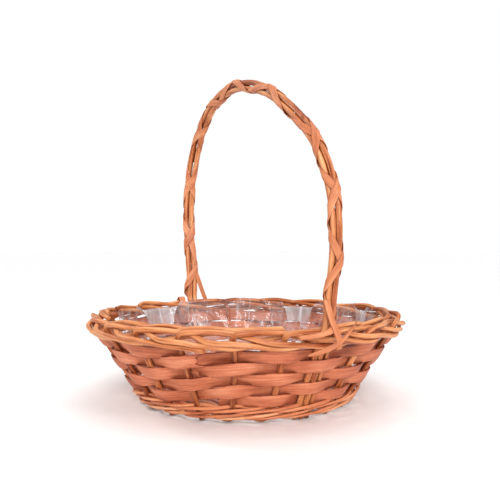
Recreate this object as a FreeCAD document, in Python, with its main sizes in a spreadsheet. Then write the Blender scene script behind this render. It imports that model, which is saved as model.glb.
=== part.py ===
import FreeCAD, Part
import os
from math import cos, degrees, pi, radians, sin, tan

import Sketcher
from FreeCAD import Placement, Rotation, Vector

# Round willow-and-chip basket with a fixed hoop handle and a loose film liner.
# The origin is on the floor under the middle of the base, +Z is up, and the handle
# stands in the YZ plane. All sizes are in millimetres and all angles in degrees.

os.makedirs("parts", exist_ok=True)
doc = FreeCAD.newDocument("basket")

# ---------------------------------------------------------------- driving dimensions

DIMENSIONS = {
    # wall: a cone round the stakes' centre lines
    "foot_radius": 121.0,
    "foot_height": 4.0,
    "wall_lean": 33.2,
    "border_height": 102.0,
    # weaving places round the wall, a stake at each; the first lies beside the handle's near foot
    "places_right": 10,
    "places_left": 11,
    "first_place_turn": 1.15,
    "stake_diameter": 6.2,
    "fit_gap": 0.15,
    # flat wood chip woven in a spiral
    "chip_width": 14.0,
    "chip_thickness": 1.5,
    "chip_row_height": 12.5,
    "chip_first_height": 26.0,
    "chip_turns": 5,
    "chip_clearance": 0.85,
    # four-rod wale round the stakes' feet
    "wale_diameter": 4.0,
    "wale_rise": 4.5,
    "wale_rods": 4,
    "wale_clearance": 1.05,
    # base: sticks pierced and threaded through each other, fanned to twelve spokes
    "base_stick_diameter": 7.0,
    "base_stick_reach": 109.0,
    "base_stick_spacing": 8.2,
    "slath_half_length": 12.3,
    "spoke_straight": 11.0,
    "spoke_angle": 30.0,
    "spoke_bend_radius": 12.0,
    "tongue_height": 3.8,
    "tongue_width": 6.4,
    "slot_height": 4.2,
    "base_mid_height": 7.0,
    "base_ring_inner": 28.0,
    "base_ring_width": 4.8,
    "base_ring_pitch": 5.08,
    "base_ring_thickness": 2.4,
    "base_rings": 16,
    "base_ring_groups": 4,
    # handle: two rods turned half round each other, wrapped by two opposite strips
    "handle_rod_diameter": 6.6,
    "handle_rod_gap": 0.4,
    "wrap_width_along": 14.0,
    "wrap_thickness": 1.0,
    "wrap_clearance": 1.4,
    "wrap_layer_gap": 0.7,
    "wrap_turn_length": 62.0,
    "wrap_start_height": 118.0,
    # strips that tie the handle's feet to the border
    "tie_width": 9.0,
    "tie_thickness": 1.2,
    "tie_half_depth": 11.6,
    "tie_drop": 26.0,
    "tie_top_rise": 4.2,
    "tie_corner_radius": 5.0,
    "tie_side_shift": 19.5,
    # film liner
    "liner_thickness": 0.5,
    "liner_offset": 9.6,
    "liner_floor_height": 13.6,
    "liner_lip_foot": 76.0,
    "liner_lip_top": 103.0,
}

sheet = doc.addObject("Spreadsheet::Sheet", "Dimensions")
for row, (name, value) in enumerate(DIMENSIONS.items(), start=1):
    sheet.set(f"A{row}", name)
    sheet.set(f"B{row}", str(value))
    sheet.setAlias(f"B{row}", name)
doc.recompute()


def size(name):
    """A driving dimension, read back from the sheet."""
    return float(sheet.get(name))


PLACES = int(size("places_right") + size("places_left"))
HANDLE_PLACES = (0, int(size("places_right")))
CHIP_OUT = size("handle_rod_diameter") / 2 + size("chip_thickness") / 2 + size("chip_clearance")
LEAN = radians(size("wall_lean"))


# ---------------------------------------------------------------- wall geometry

def wall_radius(height):
    """Radius of the stakes' cone at a height."""
    return size("foot_radius") + (height - size("foot_height")) * tan(LEAN)


def place_angle(place):
    """Angle of a weaving place in radians: place 0 is just past -Y, and places run towards +X."""
    right = size("places_right")
    around = place % PLACES
    if around <= right:
        turned = 180.0 * around / right
    else:
        turned = 180.0 + 180.0 * (around - right) / size("places_left")
    turns = (place - around) / PLACES
    return radians(-90.0 + size("first_place_turn") + turned + 360.0 * turns)


def wall_point(place, out, height):
    """Point at a place, a distance square to the wall, on the wall's line at a height."""
    radius = wall_radius(height) + out * cos(LEAN)
    angle = place_angle(place)
    return Vector(radius * cos(angle), radius * sin(angle), height - out * sin(LEAN))


# ---------------------------------------------------------------- solids from curves

STRAIGHT = 1e-4


def rounded_path(points, closed=False):
    """Straight runs joined by tangent arcs, each arc as large as its two runs allow."""
    corners = list(zip(points, points[1:], points[2:]))
    if closed:
        corners = list(zip(points[-1:] + points[:-1], points, points[1:] + points[:1]))
    arcs = []
    for before, corner, after in corners:
        back = (before - corner).normalize()
        ahead = (after - corner).normalize()
        half_turn = (pi - back.getAngle(ahead)) / 2
        if half_turn < STRAIGHT:
            continue
        reach = 0.45 * min((before - corner).Length, (after - corner).Length)
        to_middle = reach / tan(half_turn) * (1 / cos(half_turn) - 1)
        middle = corner + (back + ahead).normalize() * to_middle
        arcs.append((corner + back * reach, middle, corner + ahead * reach))
    edges = []
    start = arcs[-1][2] if closed else points[0]
    for first, middle, last in arcs:
        edges.append(Part.LineSegment(start, first).toShape())
        edges.append(Part.Arc(first, middle, last).toShape())
        start = last
    if not closed:
        edges.append(Part.LineSegment(start, points[-1]).toShape())
    return Part.Wire(edges)


def rod_solid(points, diameter):
    """Round rod along a rounded path."""
    path = rounded_path(points)
    section = Part.Wire(Part.makeCircle(diameter / 2, points[0], points[1] - points[0]))
    return path.makePipeShell([section], True, True)


def ruled_face(first, second):
    """Face that runs straight across from one smooth line to another with the same knots."""
    closed = first.isPeriodic()
    surface = Part.BSplineSurface()
    surface.buildFromPolesMultsKnots(
        [first.getPoles(), second.getPoles()], [2, 2], first.getMultiplicities(),
        [0, 1], first.getKnots(), False, closed, 1, first.Degree)
    return surface.toShape()


def ribbon_solid(corner_lines, closed):
    """Solid strip between four smooth lines, given in order round its section."""
    curves = []
    for line in corner_lines:
        curve = Part.BSplineCurve()
        knots = [float(index) for index in range(len(line) + (1 if closed else 0))]
        curve.interpolate(Points=line, PeriodicFlag=closed, Parameters=knots)
        curves.append(curve)
    faces = [ruled_face(first, second) for first, second in zip(curves, curves[1:] + curves[:1])]
    if not closed:
        for end in (0, -1):
            ring = [line[end] for line in corner_lines]
            faces.append(Part.Face(Part.makePolygon(ring + ring[:1])))
    shell = Part.Shell(faces)
    shell.sewShape()
    solid = Part.Solid(shell)
    if solid.Volume < 0:
        solid.reverse()
    return solid


def flat_topped_wave(turns):
    """Wave of height 1 with level crests, so that a strip lies flat across a stake."""
    swing = cos(pi * turns)
    return swing * (1.25 - 0.25 * swing * swing)


# ---------------------------------------------------------------- document objects

def add_shape(label, shape):
    """Document object for a piece whose shape is swept or ruled in space."""
    piece = doc.addObject("Part::Feature", label)
    piece.Label = label
    piece.Shape = shape
    piece.Placement = Placement()
    return piece


def origin_plane(body, role):
    """One of a body's own origin planes."""
    return next(item for item in body.Origin.OriginFeatures if item.Role == role)


def add_sketch(body, role, name):
    """Sketch on one of a body's own origin planes."""
    sketch = body.newObject("Sketcher::SketchObject", name)
    sketch.AttachmentSupport = [(origin_plane(body, role), "")]
    sketch.MapMode = "FlatFace"
    return sketch


def bind(feature, bindings):
    """Bind properties or named constraints of a feature to cells of the sheet."""
    for target, formula in bindings.items():
        feature.setExpression(target, formula)


def dimension(sketch, kind, name, *args):
    """Named dimension in a sketch."""
    index = sketch.addConstraint(Sketcher.Constraint(kind, *args))
    sketch.renameConstraint(index, name)


# ---------------------------------------------------------------- base

def add_spoke_path(body, side):
    """Path of half a base stick from the middle outwards, bent towards one side."""
    path = add_sketch(body, "XY_Plane", "SpokePath")
    offset = side * size("base_stick_spacing")
    straight = size("spoke_straight")
    reach = size("base_stick_reach")
    if side == 0:
        path.addGeometry(Part.LineSegment(Vector(0, 0, 0), Vector(reach, 0, 0)))
        path.addConstraint(Sketcher.Constraint("Coincident", 0, 1, -1, 1))
        path.addConstraint(Sketcher.Constraint("Horizontal", 0))
        dimension(path, "DistanceX", "reach", 0, 1, 0, 2, reach)
        bind(path, {"Constraints.reach": "Dimensions.base_stick_reach"})
        return path
    angle = radians(size("spoke_angle"))
    radius = size("spoke_bend_radius")
    centre = Vector(straight, offset + side * radius, 0)
    if side > 0:
        arc = Part.ArcOfCircle(Part.Circle(centre, Vector(0, 0, 1), radius), -pi / 2, -pi / 2 + angle)
    else:
        arc = Part.ArcOfCircle(Part.Circle(centre, Vector(0, 0, 1), radius), pi / 2 - angle, pi / 2)
    arc_near, arc_far = (1, 2) if side > 0 else (2, 1)
    bend_end = centre + Vector(radius * sin(angle), -side * radius * cos(angle), 0)
    run = reach - bend_end.Length
    tip = bend_end + Vector(run * cos(angle), side * run * sin(angle), 0)
    path.addGeometry(Part.LineSegment(Vector(0, offset, 0), Vector(straight, offset, 0)))
    path.addGeometry(arc)
    path.addGeometry(Part.LineSegment(bend_end, tip))
    path.addConstraint(Sketcher.Constraint("PointOnObject", 0, 1, -2))
    path.addConstraint(Sketcher.Constraint("Horizontal", 0))
    path.addConstraint(Sketcher.Constraint("Tangent", 0, 2, 1, arc_near))
    path.addConstraint(Sketcher.Constraint("Tangent", 1, arc_far, 2, 1))
    dimension(path, "DistanceX", "straight", 0, 1, 0, 2, straight)
    dimension(path, "Radius", "bend", 1, radius)
    dimension(path, "DistanceX", "spread", -1, 1, 2, 2, tip.x)
    if side > 0:
        dimension(path, "DistanceY", "offset", -1, 1, 0, 1, abs(offset))
    else:
        dimension(path, "DistanceY", "offset", 0, 1, -1, 1, abs(offset))
    dimension(path, "Angle", "fan", 2, side * angle)
    bind(path, {
        "Constraints.straight": "Dimensions.spoke_straight",
        "Constraints.bend": "Dimensions.spoke_bend_radius",
        "Constraints.offset": "Dimensions.base_stick_spacing",
        "Constraints.fan": f"{side} * Dimensions.spoke_angle * 1 deg",
        "Constraints.spread": "Dimensions.base_stick_reach * cos(Dimensions.spoke_angle * 1 deg)",
    })
    return path


def add_round_section(body, side):
    """Round section of a base stick, at the middle of its length."""
    section = add_sketch(body, "YZ_Plane", "StickSection")
    offset = side * size("base_stick_spacing")
    radius = size("base_stick_diameter") / 2
    section.addGeometry(Part.Circle(Vector(offset, 0, 0), Vector(0, 0, 1), radius))
    dimension(section, "Radius", "radius", 0, radius)
    section.addConstraint(Sketcher.Constraint("PointOnObject", 0, 3, -1))
    if side > 0:
        dimension(section, "DistanceX", "offset", -1, 1, 0, 3, offset)
    elif side < 0:
        dimension(section, "DistanceX", "offset", 0, 3, -1, 1, -offset)
    else:
        section.addConstraint(Sketcher.Constraint("PointOnObject", 0, 3, -2))
    bind(section, {"Constraints.radius": "Dimensions.base_stick_diameter / 2"})
    if side != 0:
        bind(section, {"Constraints.offset": "Dimensions.base_stick_spacing"})
    return section


def add_rectangle(body, role, name, wide, high, wide_formula, high_formula, shift=0, shift_formula=None):
    """Rectangle centred on a sketch's origin, or shifted along its first axis."""
    sketch = add_sketch(body, role, name)
    left, right = shift - wide / 2, shift + wide / 2
    corners = [(left, -high / 2), (right, -high / 2), (right, high / 2), (left, high / 2)]
    points = [Vector(across, up, 0) for across, up in corners]
    for first, second in zip(points, points[1:] + points[:1]):
        sketch.addGeometry(Part.LineSegment(first, second))
    for side in range(4):
        sketch.addConstraint(Sketcher.Constraint("Coincident", side, 2, (side + 1) % 4, 1))
    for side in (0, 2):
        sketch.addConstraint(Sketcher.Constraint("Horizontal", side))
    for side in (1, 3):
        sketch.addConstraint(Sketcher.Constraint("Vertical", side))
    dimension(sketch, "DistanceX", "wide", 0, 1, 0, 2, wide)
    dimension(sketch, "DistanceY", "high", 1, 1, 1, 2, high)
    dimension(sketch, "DistanceY", "half", 0, 1, -1, 1, high / 2)
    dimension(sketch, "DistanceX", "right", -1, 1, 1, 1, right)
    bind(sketch, {
        "Constraints.wide": wide_formula,
        "Constraints.high": high_formula,
        "Constraints.half": f"({high_formula}) / 2",
        "Constraints.right": f"({wide_formula}) / 2" + (f" + ({shift_formula})" if shift_formula else ""),
    })
    return sketch


def add_base_stick(label, side, pierced):
    """Base stick: pierced ones lie along Y and have a slot, threaded ones along X have a flat tongue."""
    body = doc.addObject("PartDesign::Body", label)
    body.Label = label
    path = add_spoke_path(body, side)
    section = add_round_section(body, side)
    pipe = body.newObject("PartDesign::AdditivePipe", "HalfStick")
    pipe.Profile = section
    pipe.Spine = (path, [f"Edge{index + 1}" for index in range(path.GeometryCount)])
    mirror = body.newObject("PartDesign::Mirrored", "WholeStick")
    mirror.Originals = [pipe]
    mirror.MirrorPlane = (origin_plane(body, "YZ_Plane"), [""])
    body.Tip = mirror
    doc.recompute()
    reach_through = "4 * Dimensions.base_stick_spacing"
    cut = body.newObject("PartDesign::Pocket", "Slot" if pierced else "Tongue")
    if pierced:
        cut.Profile = add_rectangle(
            body, "XZ_Plane", "SlotSection",
            2 * size("slath_half_length"), size("slot_height"),
            "2 * Dimensions.slath_half_length", "Dimensions.slot_height")
        cut.Midplane = True
        cut.setExpression("Length", reach_through)
    else:
        cut.Profile = add_tongue_section(body, side)
        cut.Midplane = True
        cut.setExpression("Length", "2 * Dimensions.slath_half_length")
    body.Tip = cut
    turn = 90 if pierced else 0
    body.Placement = Placement(Vector(0, 0, size("base_mid_height")), Rotation(Vector(0, 0, 1), turn))
    bind(body, {"Placement.Base.z": "Dimensions.base_mid_height"})
    return body


def add_tongue_section(body, side):
    """What is shaved off round a threaded stick's tongue: a large square less the tongue's rectangle."""
    offset = side * size("base_stick_spacing")
    tongue_wide = size("tongue_width")
    tongue_high = size("tongue_height")
    margin = size("base_stick_diameter")
    section = add_rectangle(
        body, "YZ_Plane", "TongueSection", margin * 2, margin * 2,
        "2 * Dimensions.base_stick_diameter", "2 * Dimensions.base_stick_diameter",
        offset, f"{side} * Dimensions.base_stick_spacing")
    left, right = offset - tongue_wide / 2, offset + tongue_wide / 2
    low, high = -tongue_high / 2, tongue_high / 2
    corners = [(left, low), (left, high), (right, high), (right, low)]
    points = [Vector(across, up, 0) for across, up in corners]
    for first, second in zip(points, points[1:] + points[:1]):
        section.addGeometry(Part.LineSegment(first, second))
    for index in range(4):
        section.addConstraint(Sketcher.Constraint("Coincident", 4 + index, 2, 4 + (index + 1) % 4, 1))
    for index in (4, 6):
        section.addConstraint(Sketcher.Constraint("Vertical", index))
    for index in (5, 7):
        section.addConstraint(Sketcher.Constraint("Horizontal", index))
    dimension(section, "DistanceX", "tongue_wide", 5, 1, 5, 2, tongue_wide)
    dimension(section, "DistanceY", "tongue_high", 4, 1, 4, 2, tongue_high)
    dimension(section, "DistanceY", "tongue_half", 4, 1, -1, 1, tongue_high / 2)
    dimension(section, "DistanceX", "tongue_right", -1, 1, 6, 1, right)
    bind(section, {
        "Constraints.tongue_wide": "Dimensions.tongue_width",
        "Constraints.tongue_high": "Dimensions.tongue_height",
        "Constraints.tongue_half": "Dimensions.tongue_height / 2",
        "Constraints.tongue_right":
            f"{side} * Dimensions.base_stick_spacing + Dimensions.tongue_width / 2",
    })
    return section


SPOKES = 12


def base_ring(index):
    """One round of the base weave: a flat pair of thin rods that goes over and under the spokes."""
    inner = size("base_ring_inner") + index * size("base_ring_pitch")
    outer = inner + size("base_ring_width")
    half_thick = size("base_ring_thickness") / 2
    lift = size("base_stick_diameter") / 2 + half_thick + size("fit_gap")
    start_up = 1 if index % 2 == 0 else -1
    steps = SPOKES * 6
    lines = []
    for radius, side in ((inner, -1), (outer, -1), (outer, 1), (inner, 1)):
        line = []
        for step in range(steps):
            angle = 2 * pi * step / steps
            wave = start_up * lift * flat_topped_wave(step * SPOKES / steps)
            height = size("base_mid_height") + wave + side * half_thick
            line.append(Vector(radius * cos(angle), radius * sin(angle), height))
        lines.append(line)
    return ribbon_solid(lines, True)


def add_base():
    """Six sticks crossing in a pierced slath, and the rounds woven between their twelve spokes."""
    pieces = []
    for number, side in enumerate((-1, 0, 1), start=1):
        pieces.append(add_base_stick(f"base_stick_pierced_{number}", side, True))
        pieces.append(add_base_stick(f"base_stick_threaded_{number}", side, False))
    rings = int(size("base_rings"))
    groups = int(size("base_ring_groups"))
    per_group = rings // groups
    for group in range(groups):
        rounds = [base_ring(group * per_group + index) for index in range(per_group)]
        pieces.append(add_shape(f"base_weave_{group + 1}", Part.makeCompound(rounds)))
    return pieces


# ---------------------------------------------------------------- wale at the foot

def wale_rod(index):
    """Ring of rod that passes outside two stakes and inside the third, and is level all round."""
    radius = size("wale_diameter") / 2
    away = (size("handle_rod_diameter") / 2 + radius) / cos(LEAN) + size("wale_clearance")
    height = radius - size("fit_gap") + index * size("wale_rise")
    points = []
    for place in range(PLACES):
        out = -away if (place + index) % 3 == 0 else away
        for beside in (-0.36, 0.36):
            angle = place_angle(place + beside)
            radial = wall_radius(height) + out
            points.append(Vector(radial * cos(angle), radial * sin(angle), height))
    path = rounded_path(points, closed=True)
    first_run = path.Edges[0]
    start = first_run.valueAt(first_run.FirstParameter)
    section = Part.Wire(Part.makeCircle(radius, start, first_run.tangentAt(first_run.FirstParameter)))
    ring = path.makePipeShell([section], True, True)
    if index == 0:
        floor = Part.makeBox(600, 600, 10, Vector(-300, -300, -10))
        ring = ring.cut(floor)
    return ring


def add_wale():
    """The wale's rods, one above the other."""
    count = int(size("wale_rods"))
    return [add_shape(f"foot_wale_rod_{index + 1}", wale_rod(index)) for index in range(count)]


# ---------------------------------------------------------------- stakes and border

# Route of a stake after its bend: places to the right, rod diameters out from the wall's
# line, and rod diameters below the top rod. It goes inside the next stake, outside two
# more, and tucks in behind the fourth.
BORDER_ROUTE = (
    (0.40, -0.20, 0.00),
    (0.76, -1.14, 0.50),
    (1.22, -1.14, 1.00),
    (1.50, 0.10, 1.18),
    (1.78, 1.14, 1.18),
    (2.22, 1.14, 1.26),
    (2.55, 1.14, 2.05),
    (2.85, 1.14, 2.30),
    (3.22, 1.14, 2.44),
    (3.50, 0.00, 2.70),
    (3.76, -1.14, 2.74),
    (4.20, -1.20, 2.68),
)


def beside_handle(place, height):
    """Point on the line of a stake that stands against the handle's rods, parallel to them."""
    angle = place_angle(place) - radians(size("first_place_turn"))
    radius = wall_radius(height)
    aside = size("handle_rod_diameter") * 1.5 + size("handle_rod_gap") * 1.5 + size("fit_gap")
    middle = Vector(radius * cos(angle), radius * sin(angle), height)
    return middle + Vector(-sin(angle), cos(angle), 0) * aside


def stake_solid(place):
    """Stake from the foot up the wall, bent at the top and woven into the border."""
    diameter = size("stake_diameter")
    top = size("border_height")
    foot = diameter / 2 * sin(LEAN)
    if place in HANDLE_PLACES:
        points = [beside_handle(place, foot), beside_handle(place, top)]
    else:
        points = [wall_point(place, 0, foot), wall_point(place, 0, top)]
    for ahead, out, down in BORDER_ROUTE:
        height = top - down * diameter * cos(LEAN)
        points.append(wall_point(place + ahead, out * diameter, height))
    return rod_solid(points, diameter)


def add_stakes():
    """A stake at every place."""
    return [add_shape(f"side_stake_{place + 1:02d}", stake_solid(place)) for place in range(PLACES)]


# ---------------------------------------------------------------- woven chip

# The weaver starts between two stakes left of the handle's near foot. Near the end of
# each turn but the last it steps up by one row, within about three places.
START_COUNT = -0.35
PLACE_OF_COUNT_0 = -2
STEP_BEFORE_TURN = 2.3
STEP_LENGTH = 2.9
LAST_TURN_CUT = 1.35


def chip_height(count):
    """Height of the weaver's middle after a count of places."""
    rows = 0
    for turn in range(1, int(size("chip_turns"))):
        part = (count - turn * PLACES + STEP_BEFORE_TURN) / STEP_LENGTH
        part = min(max(part, 0), 1)
        rows += part * part * (3 - 2 * part)
    return size("chip_first_height") + rows * size("chip_row_height")


def chip_turn(turn):
    """One turn of chip, woven outside one stake and inside the next."""
    half_thick = size("chip_thickness") / 2
    half_wide = size("chip_width") / 2 * cos(LEAN)
    steps_per_place = 4
    end_gap = 0.02
    first = START_COUNT + turn * PLACES + end_gap
    last = START_COUNT + (turn + 1) * PLACES - end_gap
    if turn == size("chip_turns") - 1:
        last -= LAST_TURN_CUT
    steps = PLACES * steps_per_place
    lines = []
    for up, side in ((-1, -1), (1, -1), (1, 1), (-1, 1)):
        line = []
        for step in range(steps + 1):
            count = first + (last - first) * step / steps
            out = -CHIP_OUT * flat_topped_wave(count) + side * half_thick
            line.append(wall_point(PLACE_OF_COUNT_0 + count, out, chip_height(count) + up * half_wide))
        lines.append(line)
    return ribbon_solid(lines, False)


def add_chips():
    """The turns of chip, from the foot up."""
    turns = int(size("chip_turns"))
    return [add_shape(f"woven_chip_{turn + 1}", chip_turn(turn)) for turn in range(turns)]


# ---------------------------------------------------------------- handle

# The hoop's centre line above the border, as (along Y, height). It leans a little to +Y.
HOOP_ROUTE = (
    (-187.0, 128.0),
    (-199.0, 185.0),
    (-194.0, 235.0),
    (-168.0, 283.0),
    (-112.0, 330.0),
    (-38.0, 369.0),
    (40.0, 386.0),
    (106.0, 374.0),
    (158.0, 338.0),
    (190.0, 284.0),
    (199.0, 224.0),
    (190.0, 166.0),
    (181.0, 122.0),
)


def hoop_points():
    """Hoop's centre line from foot to foot: up the wall's line, over, and down the wall's line."""
    foot = size("handle_rod_diameter") / 2 * sin(LEAN)
    top = size("border_height")
    points = [Vector(0, -wall_radius(foot), foot), Vector(0, -wall_radius(top), top)]
    points += [Vector(0, along, height) for along, height in HOOP_ROUTE]
    points += [Vector(0, wall_radius(top), top), Vector(0, wall_radius(foot), foot)]
    return points


def across_rods(points, index):
    """Direction from one handle rod to the other at a point of the hoop.

    The rods lie side by side along X on the wall, and make half a turn about each other on
    the way over, so that one lies on top of the other at the middle.
    """
    before, after = max(index - 1, 0), min(index + 1, len(points) - 1)
    tangent = (points[after] - points[before]).normalize()
    top = size("border_height") + 1e-3
    free = [place for place, point in enumerate(points) if point.z > top]
    lengths = [(second - first).Length for first, second in zip(points, points[1:])]
    done = sum(lengths[free[0] - 1:index]) if index >= free[0] else 0
    turn = pi * min(done / sum(lengths[free[0] - 1:free[-1] + 1]), 1)
    return tangent, Vector(1, 0, 0) * cos(turn) + Vector(1, 0, 0).cross(tangent) * sin(turn)


def handle_rod(side):
    """One of the two rods, along the hoop's centre line and half a pitch to its side."""
    rod = size("handle_rod_diameter")
    away = side * (rod + size("handle_rod_gap")) / 2
    centre = hoop_points()
    points = [point + across_rods(centre, index)[1] * away for index, point in enumerate(centre)]
    return rod_solid(points, rod)


def wrap_solid(layer, hand):
    """Flat strip wound round the two rods; the second layer lies over the first."""
    steps_per_turn = 14
    centre = rounded_path(hoop_points())
    points = centre.discretize(Number=int(centre.Length * steps_per_turn / size("wrap_turn_length")))
    rod = size("handle_rod_diameter")
    thick = size("wrap_thickness")
    clear = size("wrap_clearance") + layer * (thick + size("wrap_layer_gap"))
    half_wide = rod + size("handle_rod_gap") / 2 + clear
    half_deep = rod / 2 + clear
    shift = size("wrap_width_along") / 2
    wound = [index for index, point in enumerate(points) if point.z > size("wrap_start_height")]
    lines = []
    for along, raised in ((-shift, 0), (shift, 0), (shift, thick), (-shift, thick)):
        line = []
        for count, index in enumerate(wound):
            tangent, across = across_rods(points, index)
            angle = hand * 2 * pi * count / steps_per_turn + pi / 2
            wide = across * ((half_wide + raised) * cos(angle))
            deep = tangent.cross(across) * ((half_deep + raised) * sin(angle))
            line.append(points[index] + tangent * along + wide + deep)
        lines.append(line)
    return ribbon_solid(lines, False)


def add_tie(label, end):
    """Strip tied round the border beside one foot of the handle."""
    body = doc.addObject("PartDesign::Body", label)
    body.Label = label
    inner_wide = 2 * size("tie_half_depth")
    inner_high = size("tie_drop")
    thick = size("tie_thickness")
    loop = add_rectangle(
        body, "XZ_Plane", "TieOutside", inner_wide + 2 * thick, inner_high + 2 * thick,
        "2 * Dimensions.tie_half_depth + 2 * Dimensions.tie_thickness",
        "Dimensions.tie_drop + 2 * Dimensions.tie_thickness")
    pad = body.newObject("PartDesign::Pad", "TieBlock")
    pad.Profile = loop
    pad.Midplane = True
    bind(pad, {"Length": "Dimensions.tie_width"})
    hole = add_rectangle(
        body, "XZ_Plane", "TieInside", inner_wide, inner_high,
        "2 * Dimensions.tie_half_depth", "Dimensions.tie_drop")
    pocket = body.newObject("PartDesign::Pocket", "TieHole")
    pocket.Profile = hole
    pocket.Midplane = True
    bind(pocket, {"Length": "2 * Dimensions.tie_width"})
    body.Tip = pocket
    doc.recompute()
    outer = body.newObject("PartDesign::Fillet", "TieOuterCorners")
    outer.Base = (pocket, corner_edges(pocket.Shape, True))
    bind(outer, {"Radius": "Dimensions.tie_corner_radius"})
    doc.recompute()
    inner = body.newObject("PartDesign::Fillet", "TieInnerCorners")
    inner.Base = (outer, corner_edges(outer.Shape, False))
    bind(inner, {"Radius": "Dimensions.tie_corner_radius - Dimensions.tie_thickness"})
    body.Tip = inner
    height = size("border_height") + size("tie_top_rise") - size("tie_drop") / 2 * cos(LEAN)
    radius = wall_radius(height)
    angle = -pi / 2 if end < 0 else pi / 2
    angle += size("tie_side_shift") / radius
    spot = Vector(radius * cos(angle), radius * sin(angle), height)
    turn = Rotation(Vector(0, 0, 1), degrees(angle)) * Rotation(Vector(0, 1, 0), size("wall_lean"))
    body.Placement = Placement(spot, turn)
    return body


def corner_edges(shape, outside):
    """Names of the square corners of the tie's loop, on its outside or its inside."""
    limit = size("tie_half_depth") + size("tie_thickness") / 2
    names = []
    for index, edge in enumerate(shape.Edges, start=1):
        middle = edge.CenterOfMass
        is_corner = abs(edge.Length - size("tie_width")) < 1e-6 and abs(middle.y) < 1e-6
        square = edge.Curve.TypeId == "Part::GeomLine" and is_corner
        if square and (abs(middle.x) > limit) == outside and at_corner(middle, outside):
            names.append(f"Edge{index}")
    return names


def at_corner(middle, outside):
    """Whether a lengthwise edge of the tie lies at a corner and not where a fillet ends."""
    thick = size("tie_thickness") if outside else 0
    across = abs(abs(middle.x) - size("tie_half_depth") - thick) < 1e-6
    up = abs(abs(middle.z) - size("tie_drop") / 2 - thick) < 1e-6
    return across and up


def add_handle():
    """Two rods, two wrapping strips and a tie at each foot."""
    pieces = [
        add_shape("handle_rod_left", handle_rod(-1)),
        add_shape("handle_rod_right", handle_rod(1)),
        add_shape("handle_wrap_under", wrap_solid(0, 1)),
        add_shape("handle_wrap_over", wrap_solid(1, -1)),
        add_tie("foot_tie_near", -1),
        add_tie("foot_tie_far", 1),
    ]
    return pieces


# ---------------------------------------------------------------- film liner

def add_liner():
    """Film bowl: floor on the base weave, wall inside the chips and an upright free lip."""
    body = doc.addObject("PartDesign::Body", "liner_film")
    body.Label = "liner_film"
    floor = size("liner_floor_height")
    thick = size("liner_thickness")
    inward = size("liner_offset") / cos(LEAN)
    lip = size("liner_lip_foot")
    top = size("liner_lip_top")
    foot_radius = wall_radius(floor) - inward
    lip_radius = wall_radius(lip) - inward
    profile = add_sketch(body, "XZ_Plane", "FilmProfile")
    outline = [
        (0, floor), (foot_radius, floor), (lip_radius, lip), (lip_radius, top),
        (lip_radius - thick, top), (lip_radius - thick, lip + thick * tan(LEAN / 2)),
        (foot_radius - thick * tan((pi / 2 - LEAN) / 2), floor + thick), (0, floor + thick),
    ]
    points = [Vector(across, up, 0) for across, up in outline]
    for first, second in zip(points, points[1:] + points[:1]):
        profile.addGeometry(Part.LineSegment(first, second))
    count = len(points)
    for side in range(count):
        profile.addConstraint(Sketcher.Constraint("Coincident", side, 2, (side + 1) % count, 1))
    for side in (0, 3, 6):
        profile.addConstraint(Sketcher.Constraint("Horizontal", side))
    for side in (2, 4):
        profile.addConstraint(Sketcher.Constraint("Vertical", side))
    profile.addConstraint(Sketcher.Constraint("PointOnObject", 0, 1, -2))
    profile.addConstraint(Sketcher.Constraint("PointOnObject", 7, 1, -2))
    profile.addConstraint(Sketcher.Constraint("Parallel", 1, 5))
    dimension(profile, "DistanceY", "floor", -1, 1, 0, 1, floor)
    dimension(profile, "DistanceX", "foot", -1, 1, 1, 1, foot_radius)
    dimension(profile, "DistanceX", "lip_out", -1, 1, 2, 1, lip_radius)
    dimension(profile, "DistanceY", "lip_foot", -1, 1, 2, 1, lip)
    dimension(profile, "DistanceY", "lip_top", -1, 1, 3, 1, top)
    dimension(profile, "DistanceX", "thick", 3, 2, 3, 1, thick)
    dimension(profile, "DistanceY", "floor_thick", 7, 2, 7, 1, thick)
    dimension(profile, "DistanceY", "inner_lip_foot", -1, 1, 4, 2, lip + thick * tan(LEAN / 2))
    wall = "(Dimensions.foot_radius + ({} - Dimensions.foot_height) * tan(Dimensions.wall_lean * 1 deg)"
    wall += " - Dimensions.liner_offset / cos(Dimensions.wall_lean * 1 deg))"
    bind(profile, {
        "Constraints.floor": "Dimensions.liner_floor_height",
        "Constraints.foot": wall.format("Dimensions.liner_floor_height"),
        "Constraints.lip_out": wall.format("Dimensions.liner_lip_foot"),
        "Constraints.lip_foot": "Dimensions.liner_lip_foot",
        "Constraints.lip_top": "Dimensions.liner_lip_top",
        "Constraints.thick": "Dimensions.liner_thickness",
        "Constraints.floor_thick": "Dimensions.liner_thickness",
        "Constraints.inner_lip_foot":
            "Dimensions.liner_lip_foot + Dimensions.liner_thickness * tan(Dimensions.wall_lean * 0.5 deg)",
    })
    film = body.newObject("PartDesign::Revolution", "Film")
    film.Profile = profile
    film.ReferenceAxis = (profile, ["V_Axis"])
    film.Angle = 360
    body.Tip = film
    return body


# ---------------------------------------------------------------- build and export

pieces = add_base() + add_wale() + add_stakes() + add_chips() + add_handle() + [add_liner()]
doc.recompute()

for item in doc.Objects:
    if "Invalid" in item.State or "Error" in item.State:
        raise RuntimeError(f"{item.Label} did not compute: {item.State}")
for piece in pieces:
    shape = piece.Shape
    if shape.isNull() or not shape.isValid() or not shape.Solids:
        raise RuntimeError(f"{piece.Label} is not a valid solid")
    piece.Shape.exportStep(f"parts/{piece.Label}.step")
    print(f"{piece.Label}: {len(shape.Solids)} solid(s), {shape.Volume:.0f} mm3")
print(f"{len(pieces)} pieces")
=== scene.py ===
from math import atan2, cos, pi, radians, sin, tan

import bpy
import numpy as np
from numpy.random import default_rng
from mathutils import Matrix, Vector
from mathutils.kdtree import KDTree


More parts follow.
